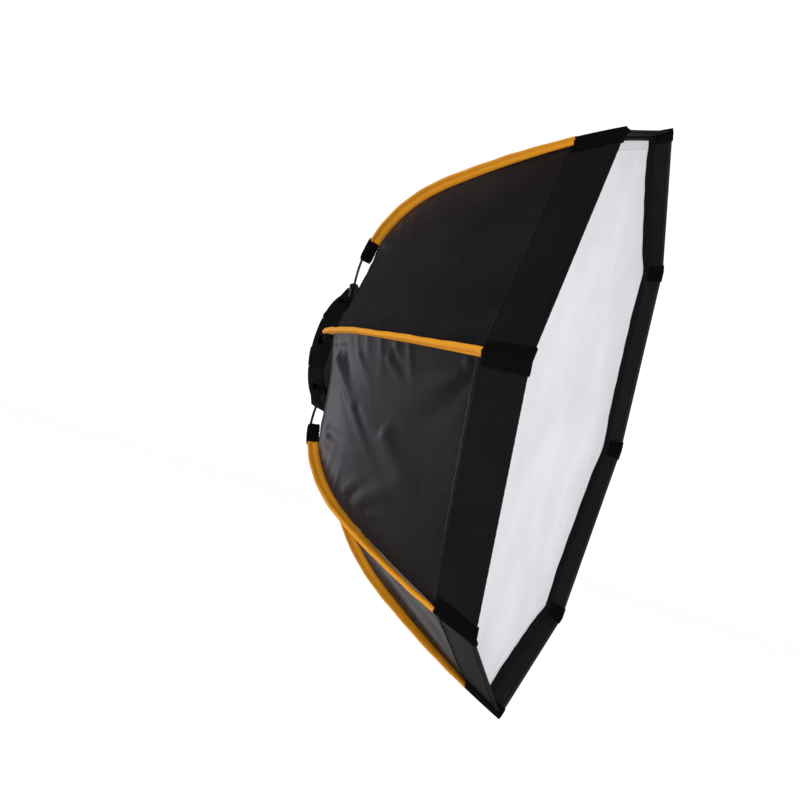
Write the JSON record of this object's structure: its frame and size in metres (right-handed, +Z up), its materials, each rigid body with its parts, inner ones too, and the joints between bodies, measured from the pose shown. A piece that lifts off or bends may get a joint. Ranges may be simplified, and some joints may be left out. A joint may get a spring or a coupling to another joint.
{
  "type": "studio softbox",
  "caption": "Octagonal folding softbox: black cloth shell on curved ribs, white front diffuser, and a rotating speed ring that takes a bayonet-mount studio light.",
  "frame": {"origin": "centre of the speed ring adapter's seat face, on the mount's axis", "axes": "+Y along the mount's axis towards the light, the softbox opens towards -Y, +Z up with one rib straight up"},
  "size_m": [0.8116, 0.3855, 0.8116],
  "materials": {
    "mount_metal": "satin black anodised",
    "ring_plastic": "satin moulded",
    "arm_plastic": "fine grain moulded",
    "screw_steel": "bright plated",
    "pin_steel": "ground",
    "washer": "natural",
    "rod_glass": "pultruded fibre rod, black",
    "sleeve_yellow": "amber webbing",
    "velvet_black": "black loop pile",
    "shell_black": "coated polyester, silver inside",
    "diffuser_white": "thin white polyester",
    "border_black": "hook tape",
    "strap_black": "narrow elastic"
  },
  "bodies": {
    "adapter": {"mount_flange": "mount_metal", "retaining_ring": "mount_metal", "ring_screws": "screw_steel"},
    "speed_ring": {"speed_ring": "ring_plastic", "side_screws": "screw_steel", "pivot_pins": "pin_steel", "friction_washer": "washer"},
    "rib_1": {"arm_1": "arm_plastic", "rod_1": "rod_glass", "sleeve_1": "sleeve_yellow", "corner_tabs_1": "velvet_black"},
    "rib_2": {"arm_2": "arm_plastic", "rod_2": "rod_glass", "sleeve_2": "sleeve_yellow", "corner_tabs_2": "velvet_black"},
    "rib_3": {"arm_3": "arm_plastic", "rod_3": "rod_glass", "sleeve_3": "sleeve_yellow", "corner_tabs_3": "velvet_black"},
    "rib_4": {"arm_4": "arm_plastic", "rod_4": "rod_glass", "sleeve_4": "sleeve_yellow", "corner_tabs_4": "velvet_black"},
    "rib_5": {"arm_5": "arm_plastic", "rod_5": "rod_glass", "sleeve_5": "sleeve_yellow", "corner_tabs_5": "velvet_black"},
    "rib_6": {"arm_6": "arm_plastic", "rod_6": "rod_glass", "sleeve_6": "sleeve_yellow", "corner_tabs_6": "velvet_black"},
    "rib_7": {"arm_7": "arm_plastic", "rod_7": "rod_glass", "sleeve_7": "sleeve_yellow", "corner_tabs_7": "velvet_black"},
    "rib_8": {"arm_8": "arm_plastic", "rod_8": "rod_glass", "sleeve_8": "sleeve_yellow", "corner_tabs_8": "velvet_black"},
    "gore_1_left_half": {"gore_1_left": "shell_black"},
    "gore_1_right_half": {"gore_1_right": "shell_black"},
    "gore_2_left_half": {"gore_2_left": "shell_black"},
    "gore_2_right_half": {"gore_2_right": "shell_black"},
    "gore_3_left_half": {"gore_3_left": "shell_black"},
    "gore_3_right_half": {"gore_3_right": "shell_black"},
    "gore_4_left_half": {"gore_4_left": "shell_black"},
    "gore_4_right_half": {"gore_4_right": "shell_black"},
    "gore_5_left_half": {"gore_5_left": "shell_black"},
    "gore_5_right_half": {"gore_5_right": "shell_black"},
    "gore_6_left_half": {"gore_6_left": "shell_black"},
    "gore_6_right_half": {"gore_6_right": "shell_black"},
    "gore_7_left_half": {"gore_7_left": "shell_black"},
    "gore_7_right_half": {"gore_7_right": "shell_black"},
    "gore_8_left_half": {"gore_8_left": "shell_black"},
    "gore_8_right_half": {"gore_8_right": "shell_black"},
    "diffuser": {"front_diffuser": "diffuser_white", "diffuser_border": "border_black"},
    "baffle": {"inner_baffle": "diffuser_white", "baffle_straps": "strap_black"}
  },
  "joints": [
    {"name": "ring_turn", "type": "hinge", "parent": "adapter", "child": "speed_ring", "pos_m": [0, 0, 0], "axis": [0, 1, 0], "continuous": true},
    {"name": "rib_1_fold", "type": "hinge", "parent": "speed_ring", "child": "rib_1", "pos_m": [0, -0.02, 0.08], "axis": [1, 0, 0], "range_deg": [0, 37]},
    {"name": "rib_2_fold", "type": "hinge", "parent": "speed_ring", "child": "rib_2", "pos_m": [0.05657, -0.02, 0.05657], "axis": [0.7071, 0, -0.7071], "range_deg": [0, 37]},
    {"name": "rib_3_fold", "type": "hinge", "parent": "speed_ring", "child": "rib_3", "pos_m": [0.08, -0.02, 0], "axis": [0, 0, -1], "range_deg": [0, 37]},
    {"name": "rib_4_fold", "type": "hinge", "parent": "speed_ring", "child": "rib_4", "pos_m": [0.05657, -0.02, -0.05657], "axis": [-0.7071, 0, -0.7071], "range_deg": [0, 37]},
    {"name": "rib_5_fold", "type": "hinge", "parent": "speed_ring", "child": "rib_5", "pos_m": [0, -0.02, -0.08], "axis": [-1, 0, 0], "range_deg": [0, 37]},
    {"name": "rib_6_fold", "type": "hinge", "parent": "speed_ring", "child": "rib_6", "pos_m": [-0.05657, -0.02, -0.05657], "axis": [-0.7071, 0, 0.7071], "range_deg": [0, 37]},
    {"name": "rib_7_fold", "type": "hinge", "parent": "speed_ring", "child": "rib_7", "pos_m": [-0.08, -0.02, 0], "axis": [0, 0, 1], "range_deg": [0, 37]},
    {"name": "rib_8_fold", "type": "hinge", "parent": "speed_ring", "child": "rib_8", "pos_m": [-0.05657, -0.02, 0.05657], "axis": [0.7071, 0, 0.7071], "range_deg": [0, 37]},
    {"name": "gore_1_left_pleat", "type": "hinge", "parent": "rib_1", "child": "gore_1_left_half", "pos_m": [-0.03314, -0.02, 0.08], "axis": [0.3422, 0.2981, 0.8911], "range_deg": [0, 18.54], "deforming": ["gore_1_left"]},
    {"name": "gore_1_right_pleat", "type": "hinge", "parent": "rib_1", "child": "gore_1_right_half", "pos_m": [0.03314, -0.02, 0.08], "axis": [0.3422, -0.2981, -0.8911], "range_deg": [0, 18.54], "deforming": ["gore_1_right"]},
    {"name": "gore_2_left_pleat", "type": "hinge", "parent": "rib_2", "child": "gore_2_left_half", "pos_m": [0.03314, -0.02, 0.08], "axis": [0.872, 0.2981, 0.3881], "range_deg": [0, 18.54], "deforming": ["gore_2_left"]},
    {"name": "gore_2_right_pleat", "type": "hinge", "parent": "rib_2", "child": "gore_2_right_half", "pos_m": [0.08, -0.02, 0.03314], "axis": [-0.3881, -0.2981, -0.872], "range_deg": [0, 18.54], "deforming": ["gore_2_right"]},
    {"name": "gore_3_left_pleat", "type": "hinge", "parent": "rib_3", "child": "gore_3_left_half", "pos_m": [0.08, -0.02, 0.03314], "axis": [0.8911, 0.2981, -0.3422], "range_deg": [0, 18.54], "deforming": ["gore_3_left"]},
    {"name": "gore_3_right_pleat", "type": "hinge", "parent": "rib_3", "child": "gore_3_right_half", "pos_m": [0.08, -0.02, -0.03314], "axis": [-0.8911, -0.2981, -0.3422], "range_deg": [0, 18.54], "deforming": ["gore_3_right"]},
    {"name": "gore_4_left_pleat", "type": "hinge", "parent": "rib_4", "child": "gore_4_left_half", "pos_m": [0.08, -0.02, -0.03314], "axis": [0.3881, 0.2981, -0.872], "range_deg": [0, 18.54], "deforming": ["gore_4_left"]},
    {"name": "gore_4_right_pleat", "type": "hinge", "parent": "rib_4", "child": "gore_4_right_half", "pos_m": [0.03314, -0.02, -0.08], "axis": [-0.872, -0.2981, 0.3881], "range_deg": [0, 18.54], "deforming": ["gore_4_right"]},
    {"name": "gore_5_left_pleat", "type": "hinge", "parent": "rib_5", "child": "gore_5_left_half", "pos_m": [0.03314, -0.02, -0.08], "axis": [-0.3422, 0.2981, -0.8911], "range_deg": [0, 18.54], "deforming": ["gore_5_left"]},
    {"name": "gore_5_right_pleat", "type": "hinge", "parent": "rib_5", "child": "gore_5_right_half", "pos_m": [-0.03314, -0.02, -0.08], "axis": [-0.3422, -0.2981, 0.8911], "range_deg": [0, 18.54], "deforming": ["gore_5_right"]},
    {"name": "gore_6_left_pleat", "type": "hinge", "parent": "rib_6", "child": "gore_6_left_half", "pos_m": [-0.03314, -0.02, -0.08], "axis": [-0.872, 0.2981, -0.3881], "range_deg": [0, 18.54], "deforming": ["gore_6_left"]},
    {"name": "gore_6_right_pleat", "type": "hinge", "parent": "rib_6", "child": "gore_6_right_half", "pos_m": [-0.08, -0.02, -0.03314], "axis": [0.3881, -0.2981, 0.872], "range_deg": [0, 18.54], "deforming": ["gore_6_right"]},
    {"name": "gore_7_left_pleat", "type": "hinge", "parent": "rib_7", "child": "gore_7_left_half", "pos_m": [-0.08, -0.02, -0.03314], "axis": [-0.8911, 0.2981, 0.3422], "range_deg": [0, 18.54], "deforming": ["gore_7_left"]},
    {"name": "gore_7_right_pleat", "type": "hinge", "parent": "rib_7", "child": "gore_7_right_half", "pos_m": [-0.08, -0.02, 0.03314], "axis": [0.8911, -0.2981, 0.3422], "range_deg": [0, 18.54], "deforming": ["gore_7_right"]},
    {"name": "gore_8_left_pleat", "type": "hinge", "parent": "rib_8", "child": "gore_8_left_half", "pos_m": [-0.08, -0.02, 0.03314], "axis": [-0.3881, 0.2981, 0.872], "range_deg": [0, 18.54], "deforming": ["gore_8_left"]},
    {"name": "gore_8_right_pleat", "type": "hinge", "parent": "rib_8", "child": "gore_8_right_half", "pos_m": [-0.03314, -0.02, 0.08], "axis": [0.872, -0.2981, -0.3881], "range_deg": [0, 18.54], "deforming": ["gore_8_right"]},
    {"name": "diffuser_off", "type": "slide", "parent": "speed_ring", "child": "diffuser", "axis": [0, -1, 0], "range_m": [0, 0.26], "deforming": ["front_diffuser", "diffuser_border"]},
    {"name": "baffle_off", "type": "slide", "parent": "speed_ring", "child": "baffle", "axis": [0, -1, 0], "range_m": [0, 0.36], "deforming": ["inner_baffle", "baffle_straps"]}
  ],
  "couplings": [
    {"joint": "rib_2_fold", "follows": "rib_1_fold", "ratio": 1},
    {"joint": "rib_3_fold", "follows": "rib_1_fold", "ratio": 1},
    {"joint": "rib_4_fold", "follows": "rib_1_fold", "ratio": 1},
    {"joint": "rib_5_fold", "follows": "rib_1_fold", "ratio": 1},
    {"joint": "rib_6_fold", "follows": "rib_1_fold", "ratio": 1},
    {"joint": "rib_7_fold", "follows": "rib_1_fold", "ratio": 1},
    {"joint": "rib_8_fold", "follows": "rib_1_fold", "ratio": 1},
    {"joint": "gore_1_left_pleat", "follows": "rib_1_fold", "ratio": 0.5011},
    {"joint": "gore_1_right_pleat", "follows": "rib_1_fold", "ratio": 0.5011},
    {"joint": "gore_2_left_pleat", "follows": "rib_1_fold", "ratio": 0.5011},
    {"joint": "gore_2_right_pleat", "follows": "rib_1_fold", "ratio": 0.5011},
    {"joint": "gore_3_left_pleat", "follows": "rib_1_fold", "ratio": 0.5011},
    {"joint": "gore_3_right_pleat", "follows": "rib_1_fold", "ratio": 0.5011},
    {"joint": "gore_4_left_pleat", "follows": "rib_1_fold", "ratio": 0.5011},
    {"joint": "gore_4_right_pleat", "follows": "rib_1_fold", "ratio": 0.5011},
    {"joint": "gore_5_left_pleat", "follows": "rib_1_fold", "ratio": 0.5011},
    {"joint": "gore_5_right_pleat", "follows": "rib_1_fold", "ratio": 0.5011},
    {"joint": "gore_6_left_pleat", "follows": "rib_1_fold", "ratio": 0.5011},
    {"joint": "gore_6_right_pleat", "follows": "rib_1_fold", "ratio": 0.5011},
    {"joint": "gore_7_left_pleat", "follows": "rib_1_fold", "ratio": 0.5011},
    {"joint": "gore_7_right_pleat", "follows": "rib_1_fold", "ratio": 0.5011},
    {"joint": "gore_8_left_pleat", "follows": "rib_1_fold", "ratio": 0.5011},
    {"joint": "gore_8_right_pleat", "follows": "rib_1_fold", "ratio": 0.5011},
    {"joint": "diffuser_off", "follows": "rib_1_fold", "m_per_rad": 0.40262},
    {"joint": "baffle_off", "follows": "rib_1_fold", "m_per_rad": 0.55747}
  ]
}
